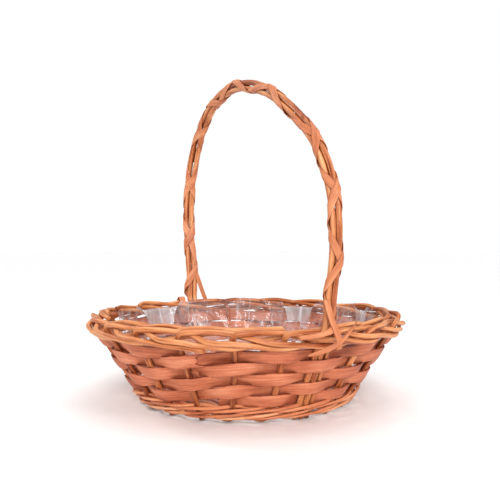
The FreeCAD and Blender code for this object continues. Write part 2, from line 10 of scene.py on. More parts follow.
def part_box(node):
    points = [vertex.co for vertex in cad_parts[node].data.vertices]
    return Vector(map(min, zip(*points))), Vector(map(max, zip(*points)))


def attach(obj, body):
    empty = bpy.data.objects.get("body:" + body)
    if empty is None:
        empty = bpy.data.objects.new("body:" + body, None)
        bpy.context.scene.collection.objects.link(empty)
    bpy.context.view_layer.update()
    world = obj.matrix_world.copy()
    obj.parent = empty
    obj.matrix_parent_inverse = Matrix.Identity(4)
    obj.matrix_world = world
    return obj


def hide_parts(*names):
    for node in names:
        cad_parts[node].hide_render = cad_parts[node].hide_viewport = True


# Round willow-and-chip basket with a hoop handle and a loose film liner. Lines and widths
# are worked out in millimetres, as the CAD source does, and meshes are made in metres.

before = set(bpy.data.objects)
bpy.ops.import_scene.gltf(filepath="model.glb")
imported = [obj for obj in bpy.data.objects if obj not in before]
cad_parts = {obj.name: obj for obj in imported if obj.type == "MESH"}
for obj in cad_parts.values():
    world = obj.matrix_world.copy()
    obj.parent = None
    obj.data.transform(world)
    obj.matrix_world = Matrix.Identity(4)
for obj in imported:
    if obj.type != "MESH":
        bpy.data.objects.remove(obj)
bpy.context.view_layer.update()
scene = bpy.context.scene

MM = 0.001
# No point of a piece is lower than this above the floor
LOWEST = 0.05

# ---- the CAD's wall and places

FOOT_RADIUS = 121.0
FOOT_HEIGHT = 4.0
LEAN = radians(33.2)
PLACES_RIGHT, PLACES_LEFT = 10, 11
PLACES = PLACES_RIGHT + PLACES_LEFT
FIRST_TURN = 1.15
STAKE = 6.2
ROD = 6.6
BORDER_HEIGHT = 102.0
# A stake's way through the border: places ahead, then stake widths out of the wall and down it
BORDER_ROUTE = (
    (0.36, -0.40, 0.46), (0.76, -1.10, 1.10), (1.22, -1.10, 1.36), (1.50, 0.10, 1.28),
    (1.78, 1.10, 1.18), (2.22, 1.14, 1.34), (2.55, 1.14, 1.95), (2.85, 1.14, 2.24),
    (3.22, 1.10, 2.36), (3.50, 0.00, 2.42), (3.80, -1.30, 2.75), (4.20, -2.02, 2.50),
    (4.75, -2.05, 1.92), (5.25, -2.05, 1.30), (5.72, -2.05, 0.90), (6.12, -2.65, 1.75),
)
# The hoop's middle above the border: along Y, and its height
HOOP_ROUTE = (
    (-187.0, 128.0), (-199.0, 185.0), (-194.0, 235.0), (-168.0, 283.0), (-112.0, 330.0),
    (-38.0, 369.0), (40.0, 386.0), (106.0, 374.0), (158.0, 338.0), (190.0, 284.0),
    (199.0, 224.0), (190.0, 166.0), (181.0, 122.0),
)


def polar(radius, angle, height):
    """Point at a radius, an angle and a height."""
    return np.array([radius * cos(angle), radius * sin(angle), height])


def wall_radius(height):
    """Radius of the stakes' cone at a height."""
    return FOOT_RADIUS + (height - FOOT_HEIGHT) * tan(LEAN)


def place_angle(place):
    """Angle of a weaving place in radians; place 0 is just past -Y, and places run towards +X."""
    around = place % PLACES
    if around <= PLACES_RIGHT:
        turned = 180.0 * around / PLACES_RIGHT
    else:
        turned = 180.0 + 180.0 * (around - PLACES_RIGHT) / PLACES_LEFT
    turns = (place - around) / PLACES
    return radians(-90.0 + FIRST_TURN + turned + 360.0 * turns)


def wall_point(place, out, height):
    """Point at a place, a distance square to the wall, on the wall's line at a height."""
    return polar(wall_radius(height) + out * cos(LEAN), place_angle(place), height - out * sin(LEAN))


def border_point(place, ahead, out, down):
    """Point of the border: places ahead, then stake widths out of the wall and down it."""
    return wall_point(place + ahead, out * STAKE, BORDER_HEIGHT - down * STAKE * cos(LEAN))


# ---- lines

def unit(vectors):
    """Vectors of length 1."""
    vectors = np.asarray(vectors, float)
    return vectors / np.maximum(np.linalg.norm(vectors, axis=-1, keepdims=True), 1e-12)


def rounded(points, closed=False, rounds=5):
    """Smooth line inside a route's corners."""
    line = np.asarray(points, float)
    for _ in range(rounds):
        ahead = np.roll(line, -1, axis=0) if closed else line[1:]
        here = line if closed else line[:-1]
        cut = np.stack([0.75 * here + 0.25 * ahead, 0.25 * here + 0.75 * ahead], axis=1)
        cut = cut.reshape(-1, 3)
        line = cut if closed else np.concatenate([line[:1], cut, line[-1:]])
    return line


def lengths(line):
    """Distance along a line at each of its points."""
    return np.concatenate([[0], np.cumsum(np.linalg.norm(np.diff(line, axis=0), axis=1))])


def spaced(line, step, closed=False):
    """The line again with even steps."""
    if closed:
        line = np.concatenate([line, line[:1]])
    along = lengths(line)
    count = max(4, int(round(along[-1] / step)))
    at = np.linspace(0, along[-1], count + 1)
    if closed:
        at = at[:-1]
    return np.stack([np.interp(at, along, line[:, k]) for k in range(3)], axis=1)


def tangents(line, closed=False):
    """Direction of a line at each of its points."""
    if closed:
        return unit(np.roll(line, -1, axis=0) - np.roll(line, 1, axis=0))
    return unit(np.gradient(line, axis=0))


def carried_frames(line, closed=False):
    """Tangent and two square directions that are carried along a line without turning about it."""
    along = tangents(line, closed)
    start = np.cross(along[0], [0.0, 0.0, 1.0])
    if np.linalg.norm(start) < 0.1:
        start = np.cross(along[0], [1.0, 0.0, 0.0])
    side = [unit(start)]
    for tangent in along[1:]:
        moved = side[-1] - tangent * (side[-1] @ tangent)
        side.append(unit(moved))
    side = np.array(side)
    if closed:
        last = side[-1] - along[0] * (side[-1] @ along[0])
        other = np.cross(along[0], side[0])
        drift = atan2(last @ other, last @ side[0])
        turn = -drift * np.arange(len(line)) / len(line)
        up = np.cross(along, side)
        side = side * np.cos(turn)[:, None] + up * np.sin(turn)[:, None]
    return along, side, np.cross(along, side)


def wander(rng, at, height, wave, closed_length=None):
    """Smooth random swing of about that height, of waves near that length."""
    total = np.zeros_like(at)
    for share in (1.0, 0.62, 0.37):
        length = wave * share * rng.uniform(0.8, 1.25)
        if closed_length:
            length = closed_length / max(1, round(closed_length / length))
        total += np.sqrt(share) * np.sin(2 * pi * at / length + rng.uniform(0, 2 * pi))
    return height * total / 1.7


# ---- meshes

def new_piece(name, points, faces, grain, tone, material, body, node):
    """Mesh object from points in millimetres, riding on a body in place of a CAD node."""
    mesh = bpy.data.meshes.new(name)
    points = np.array(points, float)
    points[:, 2] = np.maximum(points[:, 2], LOWEST)
    mesh.from_pydata((points * MM).tolist(), [], faces)
    layer = mesh.attributes.new("grain", "FLOAT_VECTOR", "POINT")
    layer.data.foreach_set("vector", (np.asarray(grain, np.float32) * MM).ravel())
    layer = mesh.attributes.new("tone", "FLOAT", "POINT")
    layer.data.foreach_set("value", np.asarray(tone, np.float32))
    mesh.polygons.foreach_set("use_smooth", [True] * len(mesh.polygons))
    mesh.materials.append(material)
    mesh.validate()
    mesh.update()
    piece = bpy.data.objects.new(name, mesh)
    scene.collection.objects.link(piece)
    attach(piece, body)
    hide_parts(node)
    return piece


def tube_faces(rings, sides, closed, first=0):
    """Faces of a tube of rings, with the number of its first point."""
    faces = []
    for ring in range(rings if closed else rings - 1):
        here, ahead = first + ring * sides, first + (ring + 1) % rings * sides
        for side in range(sides):
            beside = (side + 1) % sides
            faces.append((here + side, here + beside, ahead + beside, ahead + side))
    return faces


class Parts:
    """Points, faces and surface values gathered for one mesh."""

    def __init__(self):
        self.points, self.faces, self.grain, self.tone = [], [], [], []
        self.count = 0

    def add(self, points, faces, grain, tone):
        self.faces += [tuple(self.count + i for i in face) for face in faces]
        self.points.append(points)
        self.grain.append(grain)
        self.tone.append(tone)
        self.count += len(points)

    def make(self, name, material, node):
        new_piece(name, np.concatenate(self.points), self.faces, np.concatenate(self.grain),
                  np.concatenate(self.tone), material, "basket", node)


def add_rod(parts, rng, line, width, closed=False, sides=14, taper=(1.0, 1.0), tone=None,
            slants=(0.25, 0.25), lumps=2, squeeze=None, shade_and_tone_along=None):
    """Adds a willow rod along a line: not quite round, swollen at its old buds, cut at its ends.

    width is a number or a function of the distance along, as squeeze and the colour shift along the rod are;
    on the stakes that shift is painted shade.
    """
    along, side, up = carried_frames(line, closed)
    at = lengths(line)
    total = at[-1]
    turn = np.linspace(0, 2 * pi, sides, endpoint=False)
    if callable(width):
        radius = width(at) / 2
        width = float(radius.mean() * 2)
    else:
        radius = width / 2 * np.linspace(taper[0], taper[1], len(line))
    whole = total + np.linalg.norm(line[0] - line[-1]) if closed else None
    radius *= 1 + wander(rng, at, 0.035, 70, whole) + wander(rng, at, 0.015, 17, whole)
    shape = radius[:, None] * np.ones(sides)
    lift = rng.uniform(0, 2 * pi)
    shape *= 1 + 0.030 * np.sin(2 * turn[None, :] + lift + at[:, None] / 90)
    shape *= 1 + 0.018 * np.sin(3 * turn[None, :] + 2 * lift - at[:, None] / 60)
    dark = np.zeros((len(line), sides))
    for _ in range(lumps):
        spot, face = rng.uniform(0.08, 0.92) * total, rng.uniform(0, 2 * pi)
        near = np.exp(-((at - spot) / (0.45 * width)) ** 2)[:, None]
        facing = np.exp(-((np.angle(np.exp(1j * (turn - face)))) / 0.7) ** 2)[None, :]
        shape *= 1 + 0.13 * near * facing + 0.03 * near
        dark += 1.5 * near * facing
    if squeeze is not None:
        shape *= squeeze(at)[:, None]
    ring = side[:, None, :] * np.cos(turn)[None, :, None] + up[:, None, :] * np.sin(turn)[None, :, None]
    points = line[:, None, :] + ring * shape[:, :, None]
    offset = rng.uniform(0, 900)
    base = rng.normal(0, 1) if tone is None else tone
    grain = np.stack(
        [np.broadcast_to(at[:, None] + offset, shape.shape),
         shape * np.cos(turn)[None, :], shape * np.sin(turn)[None, :] + offset], axis=-1)
    value = base - dark
    if shade_and_tone_along is not None:
        value = value + shade_and_tone_along(at)[:, None]
    faces = tube_faces(len(line), sides, closed)
    points, grain, value = points.reshape(-1, 3), grain.reshape(-1, 3), value.ravel()
    if not closed:
        for end, sign, slant in ((0, -1, slants[0]), (len(line) - 1, 1, slants[1])):
            face_turn = rng.uniform(0, 2 * pi)
            shear = slant * radius[end] * np.cos(turn - face_turn)
            edge = np.arange(sides) + end * sides
            points[edge] += sign * along[end] * shear[:, None]
            outward, first = sign * along[end], len(points)
            caps = []
            for scale, out in ((0.88, 0.10), (0.5, 0.14)):
                centre = line[end] + outward * out * radius[end]
                cap = centre + ring[end] * (shape[end] * scale)[:, None] + outward * (shear * scale)[:, None]
                caps.append((cap, grain[edge], np.full(sides, base - 1.3 * (1.3 - scale))))
            tip = line[end] + outward * 0.14 * radius[end]
            caps.append((tip[None, :], grain[edge[:1]], np.array([base - 0.6])))
            points, grain, value = (np.concatenate(group) for group in zip((points, grain, value), *caps))
            rows = [edge, first + np.arange(sides), first + sides + np.arange(sides)]
            pairs = [(k, (k + 1) % sides) for k in range(sides)]
            added = [(a[k], a[j], b[j], b[k]) for a, b in zip(rows, rows[1:]) for k, j in pairs]
            added += [(rows[2][k], rows[2][j], first + 2 * sides) for k, j in pairs]
            faces += added if sign > 0 else [face[::-1] for face in added]
    parts.add(points, [tuple(int(i) for i in face) for face in faces], grain, value)


# Points across a strip's two faces, closer together towards its edges
STRIP_ACROSS = 11
STRIP_HALF = np.sin(np.linspace(-pi / 2, pi / 2, STRIP_ACROSS))
STRIP_COLUMNS = np.concatenate([STRIP_HALF, STRIP_HALF[::-1]])
STRIP_FACES = np.concatenate([np.ones(STRIP_ACROSS), -np.ones(STRIP_ACROSS)])


def strip_end(first, flipped):
    """Faces across a strip's end, with the number of its first point."""
    last = first + 2 * STRIP_ACROSS - 1
    quads = [(first + k, first + k + 1, last - 1 - k, last - k) for k in range(STRIP_ACROSS - 1)]
    return [quad[::-1] for quad in quads] if flipped else quads


def add_strip(parts, rng, line, across, outward, width, thick, tone, cup=0.3, edge_swing=0.3,
              torn=(0.0, 0.0), flare=None, shade=None):
    """Adds a flat strip of wood along a line: across and outward are its directions at each point.

    cup is how far it curves across, torn how ragged its two ends are, flare its width along it.
    """
    along = tangents(line)
    outward = unit(outward - along * np.sum(outward * along, axis=1, keepdims=True))
    square = np.cross(outward, along)
    across = unit(square * np.sign(np.sum(square * across, axis=1))[:, None])
    at = lengths(line)
    half = np.full(len(line), width / 2.0)
    if flare is not None:
        half = half * flare
    low = half * (1 + wander(rng, at, edge_swing * 0.12, 46)) + wander(rng, at, edge_swing * 0.35, 9)
    high = half * (1 + wander(rng, at, edge_swing * 0.12, 52)) + wander(rng, at, edge_swing * 0.35, 8)
    columns, faces_out = STRIP_COLUMNS, STRIP_FACES
    edge_round = 1 - 0.55 * np.abs(columns) ** 10
    reach = np.where(columns[None, :] < 0, low[:, None], high[:, None]) * columns[None, :]
    swell = 1 + wander(rng, at, 0.10, 33)
    cups = cup * (1 + wander(rng, at, 0.5, 60))
    height = faces_out * edge_round * thick / 2 * swell[:, None]
    height = height + cups[:, None] * (0.5 - columns[None, :] ** 2)
    height = height + wander(rng, at, 0.10, 21)[:, None] * columns[None, :]
    points = (line[:, None, :] + across[:, None, :] * reach[:, :, None]
              + outward[:, None, :] * height[:, :, None])
    for end, sign, tear in ((0, -1, torn[0]), (len(line) - 1, 1, torn[1])):
        jag = np.interp(columns, np.linspace(-1, 1, 9), rng.uniform(-1, 1, 9)) * max(tear, 0.25)
        for back in range(4):
            index = end - sign * back
            points[index] += sign * along[end] * (jag * (1 - back / 4))[:, None]
    offset = rng.uniform(0, 900)
    # The colour darkens sharply at the strip's two edges: partly stain on the cut edges, partly painted shade
    # of the gaps where strips meet.
    value = tone - 1.5 * np.abs(columns[None, :]) ** 14 * np.ones((len(line), 1))
    if shade is not None:
        value = value + shade[:, None]
    grain = np.stack([np.broadcast_to(at[:, None] + offset, reach.shape), reach + offset,
                      height + 40 * faces_out], axis=-1)
    faces = tube_faces(len(line), 2 * STRIP_ACROSS, False)
    faces += strip_end(0, True) + strip_end((len(line) - 1) * 2 * STRIP_ACROSS, False)
    parts.add(points.reshape(-1, 3), faces, grain.reshape(-1, 3), value.ravel())


STRIP_THICK = 0.9


def add_tail(parts, rng, route, facing, width, tone, torn=(0.0, 0.0), flares=((0, 1.0), (1, 1.0))):
    """Adds a loose length of strip along a route, its face towards a direction."""
    line = spaced(rounded(route, False, 4), 1.5)
    front = np.broadcast_to(facing, line.shape)
    flare = np.interp(np.linspace(0, 1, len(line)), *zip(*flares))
    add_strip(parts, rng, line, np.cross(front, tangents(line)), front, width, STRIP_THICK, tone,
              torn=torn, flare=flare)


# ---- materials

class Nodes:
    """Short calls for building a node tree."""

    def __init__(self, name):
        self.material = bpy.data.materials.new(name)
        self.material.use_nodes = True
        self.tree = self.material.node_tree
        self.tree.nodes.clear()

    def put(self, socket, value):
        """Sets a socket to a value, or links another node's output to it."""
        if isinstance(value, bpy.types.NodeSocket):
            self.tree.links.new(value, socket)
        else:
            socket.default_value = value

    def node(self, kind, settings=None, **inputs):
        """A shader node whose inputs are named, or numbered as i0, i1 and so on."""
        made = self.tree.nodes.new("ShaderNode" + kind)
        for key, value in (settings or {}).items():
            setattr(made, key, value)
        for key, value in inputs.items():
            numbered = key[0] == "i" and key[1:].isdigit()
            self.put(made.inputs[int(key[1:]) if numbered else key.replace("_", " ")], value)
        return made

    def math(self, operation, first, second=0.0, clamp=False):
        settings = {"operation": operation, "use_clamp": clamp}
        return self.node("Math", settings, i0=first, i1=second).outputs[0]

    def total(self, first, *others):
        """Sum of several values."""
        for other in others:
            first = self.math("ADD", first, other)
        return first

    def spread(self, value, low, high, to_low=0.0, to_high=1.0):
        """A value moved from one range to another."""
        made = self.node("MapRange", {}, i0=value, i1=low, i2=high, i3=to_low, i4=to_high)
        return made.outputs[0]

    def noise(self, vector, scale, detail, rough):
        made = self.node("TexNoise", {}, Vector=vector, Scale=scale, Detail=detail,
                         Roughness=rough)
        return made.outputs["Fac"]

    def grained(self, vector, along, across, detail, rough):
        """Noise drawn out along a piece: its scale along the grain and across it."""
        scaled = self.node("Mapping", {"vector_type": "POINT"}, Vector=vector,
                           Scale=(along, across, across)).outputs[0]
        return self.noise(scaled, 1.0, detail, rough)

    def attribute(self, name, output):
        return self.node("Attribute", {"attribute_name": name}).outputs[output]

    def finish(self, surface):
        """The material, with a shader as its surface."""
        self.node("OutputMaterial", {}, Surface=surface.outputs[0])
        return self.material

    def ramp(self, value, stops):
        made = self.node("ValToRGB", {}, i0=value)
        ramp = made.color_ramp
        while len(ramp.elements) < len(stops):
            ramp.elements.new(0.5)
        for element, (place, colour) in zip(ramp.elements, stops):
            element.position = place
            element.color = (*colour, 1.0)
        return made.outputs[0]

    def mix(self, share, first, second):
        """One colour over another."""
        made = self.node("Mix", {"data_type": "RGBA"}, i0=share, i6=first, i7=(*second, 1.0))
        return made.outputs[2]


def linear(red, green, blue):
    """Linear colour of an sRGB one given from 0 to 255."""
    values = [channel / 255 for channel in (red, green, blue)]
    return tuple(v / 12.92 if v <= 0.04045 else ((v + 0.055) / 1.055) ** 2.4 for v in values)


def willow_material(name, pale, main, deep, dark, gloss, bump, fibre=1.0, streak=1.0, specks=0.55):
    """Stained wood with grain along each piece, blotches, specks, and darker buds and ends, with painted
    shade in its nooks.

    fibre is the fineness of the grain; streak and specks are how strongly those two show.
    """
    n = Nodes(name)
    grain, tone = n.attribute("grain", "Vector"), n.attribute("tone", "Fac")
    fibres = n.grained(grain, 34.0, 1500.0 * fibre, 5.0, 0.62)
    streaks = n.grained(grain, 16.0, 420.0, 3.0, 0.5)
    blotch = n.grained(grain, 26.0, 90.0, 3.0, 0.5)
    pores = n.grained(grain, 520.0, 2100.0, 2.0, 0.6)
    flat = n.spread(tone, -2.2, 2.2, -0.26, 0.26)
    mixed = n.total(n.spread(fibres, 0.25, 0.75, -0.16, 0.16),
                    n.spread(streaks, 0.3, 0.7, -0.17 * streak, 0.17 * streak),
                    n.spread(blotch, 0.3, 0.7, -0.20, 0.20), flat, 0.56)
    colour = n.ramp(mixed, [(0.0, dark), (0.30, deep), (0.58, main), (0.95, pale)])
    speck = n.spread(pores, 0.60, 0.76, 0.0, specks)
    colour = n.mix(speck, colour, deep)
    # The lowest tones turn to the dark colour: real buds and cut ends, and painted shade on the stakes along
    # the wall and at strip edges.
    dark_marks_and_shade = n.spread(tone, -1.3, -2.8, 0.0, 0.85)
    colour = n.mix(dark_marks_and_shade, colour, dark)
    # Painted shade: the colour is drawn towards the dark one wherever other surfaces are near, in nooks and
    # between parts, by ambient occlusion.
    painted_nook_shade = n.node("AmbientOcclusion", {"samples": 8}, Distance=0.006).outputs["AO"]
    colour = n.mix(n.spread(painted_nook_shade, 0.12, 0.62, 0.62, 0.0), colour, dark)
    shine = n.total(n.spread(fibres, 0.3, 0.7, -0.07, 0.07), n.spread(blotch, 0.3, 0.7, -0.06, 0.06),
                    gloss)
    relief = n.total(n.math("MULTIPLY", fibres, 0.6), n.math("MULTIPLY", streaks, 0.9))
    relief = n.math("SUBTRACT", relief, n.math("MULTIPLY", speck, 0.35))
    raised = n.node("Bump", {}, Strength=bump, Distance=0.0006, Height=relief).outputs[0]
    shader = n.node("BsdfPrincipled", {}, Base_Color=colour, Roughness=shine, Normal=raised)
    shader.inputs["IOR"].default_value = 1.45
    shader.inputs["Specular IOR Level"].default_value = 0.42
    return n.finish(shader)


rod_look = willow_material(
    "stained_willow", linear(242, 176, 124), linear(208, 130, 80), linear(164, 82, 42), linear(88, 32, 14),
    gloss=0.38, bump=0.7, streak=1.5, specks=0.8)
thin_look = willow_material(
    "stained_thin_willow", linear(250, 186, 140), linear(226, 144, 98), linear(176, 88, 54),
    linear(84, 30, 14), gloss=0.44, bump=0.6)
chip_look = willow_material(
    "stained_chip", linear(233, 154, 116), linear(206, 118, 82), linear(170, 86, 54), linear(92, 36, 18),
    fibre=0.7, gloss=0.58, bump=0.9, streak=0.7, specks=1.0)
wrap_look = willow_material(
    "stained_strip", linear(234, 164, 120), linear(203, 122, 80), linear(158, 82, 48), linear(90, 36, 18),
    fibre=0.7, gloss=0.50, bump=0.6, streak=0.6, specks=0.7)


def film_material():
    """Clear crinkled film: mostly see-through, with glints at its creases, and milky where it lies double."""
    n = Nodes("clear_film")
    where = n.node("TexCoord").outputs["Object"]
    doubled = n.attribute("tone", "Fac")
    crumple = n.noise(where, 120.0, 3.0, 0.55)
    haze = n.noise(where, 22.0, 4.0, 0.6)
    relief = n.node("Bump", {}, Strength=0.35, Distance=0.0012, Height=crumple).outputs[0]
    facing = n.node("LayerWeight", {}, Blend=0.5, Normal=relief).outputs["Facing"]
    share = n.math("MULTIPLY", n.math("POWER", facing, 4.0), 0.30)
    share = n.math("ADD", share, n.spread(haze, 0.46, 0.70, 0.04, 0.26))
    share = n.math("ADD", share, n.math("MULTIPLY", doubled, 0.36), clamp=True)
    up = n.node("SeparateXYZ", {}, i0=where).outputs["Z"]
    low = n.spread(up, 0.022, 0.055, 0.25, 1.0)
    share = n.math("MULTIPLY", share, low)
    clear = n.node("BsdfTransparent", {}, Color=(0.98, 0.98, 0.985, 1.0)).outputs[0]
    milky = n.node("BsdfPrincipled", {}, Base_Color=(0.78, 0.78, 0.80, 1.0), Normal=relief)
    milky.inputs["Roughness"].default_value = 0.22
    body = n.node("MixShader", {}, i0=share, i1=clear, i2=milky.outputs[0]).outputs[0]
    mirror = n.node("BsdfGlossy", {}, Color=(1.0, 1.0, 1.0, 1.0), Roughness=0.06,
                    Normal=relief).outputs[0]
    glance = n.math("MULTIPLY", n.math("POWER", facing, 5.0), 0.25)
    glance = n.math("MULTIPLY", n.math("ADD", glance, 0.018), low)
    return n.finish(n.node("MixShader", {}, i0=glance, i1=body, i2=mirror))


film_look = film_material()

# ---- stakes and their border

HANDLE_PLACES = (0, PLACES_RIGHT)
STAKE_HEIGHTS = (2.2, 30.0, 70.0, BORDER_HEIGHT - 2.6)
# How far the handle's near foot stands to the right at the floor, and each foot's stake from its rods
FOOT_DRIFT = 6.5
BUNDLE_SHIFT = {0: -3.4, PLACES_RIGHT: 0.0}
# Stakes with a short foot that is turned in under the wale
TURNED_FEET = (3, 6, 8, 13, 16, 19, 20)
# The pointed end that is pushed into the base: its height, and its reach and rise at its points
ROOT_HEIGHT = 6.6
ROOT_REACH = (94.0, 106.0, 114.0)
ROOT_RISE = (0.6, 0.4, 0.0, -0.6)
# How far some stakes stand from their places: at the foot, low, high and at the border
DRIFTS = {
    20: (0.10, 0.12, 0.13, 0.05),
    19: (-0.06, 0.00, 0.18, 0.10),
    18: (-0.03, 0.00, 0.08, 0.05),
    17: (-0.13, -0.12, 0.08, 0.05),
    1: (0.05, 0.00, -0.12, -0.05),
}
# Stakes that end early in the border, after so many points of its route, and where they end
LOOSE_POINTS = 9
LOOSE_ENDS = {0: (3.50, 1.5, 2.05), 5: (3.42, 1.2, 0.9), 10: (3.55, 1.4, 1.7), 15: (3.60, 1.5, 2.6)}


def beside_handle(place, height, aside):
    """Point on the line of a stake that stands against the handle's rods, parallel to them."""
    angle = place_angle(place) - radians(FIRST_TURN)
    return polar(wall_radius(height), angle, height) + np.array([-sin(angle), cos(angle), 0.0]) * aside


for place in range(PLACES):
    rng = default_rng(100 + place)
    width = STAKE * rng.uniform(0.86, 0.96)
    if place in HANDLE_PLACES:
        aside = 1.5 * ROD + 0.75 + BUNDLE_SHIFT[place]
        width = STAKE * 0.86
        lower = FOOT_DRIFT if place == 0 else 0.0
        route = [beside_handle(place, height, aside + lower * (1 - height / BORDER_HEIGHT))
                 for height in STAKE_HEIGHTS]
        root = beside_handle(place, ROOT_HEIGHT, aside + lower)
    else:
        sway = rng.uniform(-0.035, 0.035, 4) * np.array([1.0, 1.0, 0.8, 0.3]) + DRIFTS.get(place, 0.0)
        route = [wall_point(place + move, 0.0, height) for move, height in zip(sway, STAKE_HEIGHTS)]
        root = wall_point(place + sway[0], 0.0, ROOT_HEIGHT)
    if place in TURNED_FEET:
        route[0] = wall_point(place - 0.03, 0.0, 3.6)
        route[:0] = [wall_point(place - 0.55, -4.5, 6.5), wall_point(place - 0.30, -0.5, 3.9)]
    for ahead, out, down in BORDER_ROUTE[:LOOSE_POINTS] if place in LOOSE_ENDS else BORDER_ROUTE:
        ahead += rng.normal(0, 0.045)
        out += rng.normal(0, 0.05)
        down += rng.normal(0, 0.13)
        # The first bend is sharp, so its point is there twice
        route += [border_point(place, ahead, out, down)] * (2 if ahead < 0.6 else 1)
    if place in LOOSE_ENDS:
        route.append(border_point(place, *LOOSE_ENDS[place]))
    line = spaced(rounded(route), 2.3)
    parts = Parts()
    # Painted shade: along the wall, up to just under the border, the stake is made darker, as it lies in the
    # chips' shade there.
    add_rod(parts, rng, line, width, taper=(1.05, 0.84), lumps=6, slants=(0.2, 0.9),
            tone=0.75 * float(np.clip(rng.normal(), -1.3, 1.5)),
            squeeze=lambda s: 1 - 0.05 * np.exp(-((s - 112) / 9.0) ** 2),
            shade_and_tone_along=lambda s: np.interp(s, (0, 98, 125), (-1.35, -1.25, 0.0)))
    foot = np.hypot(root[0], root[1])
    inward = [root * np.array([reach / foot, reach / foot, 1.0]) + np.array([0, 0, rise])
              for reach, rise in zip((*ROOT_REACH, foot - 0.5), ROOT_RISE)]
    add_rod(parts, rng, spaced(rounded(inward), 2.3), width, taper=(0.55, 0.95), lumps=1, tone=-0.9)
    number = f"stake_{place + 1:02d}"
    parts.make(number, rod_look, f"side_{number}")

# ---- woven chip

CHIP = 16.5
CHIP_THICK = 1.4
CHIP_OUT = 4.3
CHIP_FIRST_HEIGHT, CHIP_ROW = 26.0, 12.5
CHIP_TURNS = 5
# Places are counted along the chip from here: outside the stake at an odd count, inside at an even one
PLACE_OF_COUNT_0 = -2
# The chip climbs to its next row over this many places, from this many before a turn is full
STEP_BEFORE_TURN, STEP_LENGTH = 2.3, 2.9
# How much further apart the rows are on the far side
FAR_RISE = 0.9
# Where each length of chip starts and ends, as counts of places: behind a stake, but for the last join
CHIP_LENGTHS = ((-0.35, 20.3), (19.7, 42.3), (41.7, 62.3), (61.7, 83.42), (82.9, 104.1))
# The length whose torn end shows outside
RAGGED_TURN = 3


def chip_height(count):
    """Height of the weaver's middle after a count of places."""
    rows = 0
    for turn in range(1, CHIP_TURNS):
        part = np.clip((count - turn * PLACES + STEP_BEFORE_TURN) / STEP_LENGTH, 0, 1)
        rows = rows + part * part * (3 - 2 * part)
    far = 0.5 - 0.5 * np.cos(2 * pi * (count + PLACE_OF_COUNT_0 + 1.5) / PLACES)
    return CHIP_FIRST_HEIGHT + rows * (CHIP_ROW + FAR_RISE * far)


for turn in range(CHIP_TURNS):
    rng = default_rng(300 + turn)
    first, last = CHIP_LENGTHS[turn]
    counts = np.arange(first, last, 0.05)
    swing = np.cos(pi * counts)
    shaped = swing * (1.28 - 0.28 * swing ** 2)
    out = -CHIP_OUT * shaped
    out = out * (1 + wander(rng, counts, 0.05, 2.7))
    # Where two lengths meet, the new one starts inside and the old one ends outside
    if turn > 0:
        out = out - 1.7 * np.clip((first + 1.0 - counts) / 0.9, 0, 1)
    if turn < CHIP_TURNS - 1:
        out = out + (0.9 if turn == RAGGED_TURN else 0.2) * np.clip((counts - last + 0.8) / 0.7, 0, 1)
    height = chip_height(counts) + wander(rng, counts, 0.45, 3.1) - 0.25 * (1 + shaped)
    tilt = wander(rng, counts, 0.04, 1.7)
    line, outward, across = [], [], []
    for count, aside, up, lean in zip(counts, out, height, tilt):
        angle = place_angle(PLACE_OF_COUNT_0 + count)
        line.append(polar(wall_radius(up) + aside / cos(LEAN), angle, up))
        wall_up = polar(sin(LEAN), angle, cos(LEAN))
        wall_out = polar(cos(LEAN), angle, -sin(LEAN))
        across.append(wall_up * cos(lean) + wall_out * sin(lean))
        outward.append(wall_out * cos(lean) - wall_up * sin(lean))
    parts = Parts()
    crest = np.abs(shaped) ** 1.5
    torn = (0.6, 6.0) if turn == RAGGED_TURN else (0.6, 1.2)
    add_strip(parts, rng, np.array(line), np.array(across), np.array(outward), CHIP, CHIP_THICK,
              tone=0.3 * rng.normal(), cup=0.55, edge_swing=0.5, torn=torn,
              flare=0.985 + 0.015 * crest, shade=wander(rng, counts, 0.9, 2.2))
    parts.make(f"chip_turn_{turn + 1}", chip_look, f"woven_chip_{turn + 1}")

# ---- wale at the foot

# Each strand's place in the twist, its lowest and its highest height: three low and three above them
WALE_STRANDS = (
    (0, 4.2, 12.4), (1, 4.5, 12.6), (2, 4.3, 12.2),
    (0.5, 12.0, 19.8), (1.5, 12.3, 20.1), (2.5, 12.1, 19.6),
)
# The strands of each CAD node, and the place where each strand starts
WALE_NODES = ((0, 4), (1,), (2, 5), (3,))
WALE_STARTS = (-2.2, 4.7, 12.3, -3.4, 8.6, 15.2)


def wale_point(strand, place, rng):
    """Point of a strand that rises past two stakes on the outside and drops behind the third."""
    phase, low, high = WALE_STRANDS[strand]
    ahead = (place - phase) % 3
    if 0.5 <= ahead <= 2.5:
        height = low + (high - low) * (ahead - 0.5) / 2
        out = 5.5 * sin(pi * (ahead - 0.5) / 2) ** 0.55
    else:
        back = (ahead - 2.5) % 3
        height = high + (low - high) * (0.5 - 0.5 * cos(pi * back))
        out = -5.3 * sin(pi * back)
    height += rng.normal(0, 0.15)
    radius = wall_radius(height) + (out + rng.normal(0, 0.15)) / cos(LEAN)
    return polar(radius, place_angle(place), height)


for index, strands in enumerate(WALE_NODES):
    parts = Parts()
    for strand in strands:
        rng = default_rng(400 + strand)
        start = WALE_STARTS[strand]
        route = [wale_point(strand, place, rng) for place in np.arange(start, start + PLACES + 0.62, 0.25)]
        line = spaced(rounded(route, False, 3), 2.2)
        add_rod(parts, rng, line, rng.uniform(3.0, 3.5), sides=10, lumps=5, slants=(0.9, 0.9))
    parts.make(f"wale_rod_{index + 1}", thin_look, f"foot_wale_rod_{index + 1}")

# ---- base

BASE_MID = 7.0
BASE_REACH = 109.0
STICK = 7.0
SPACING = 8.2
SPOKES = 12
FAN = radians(30)


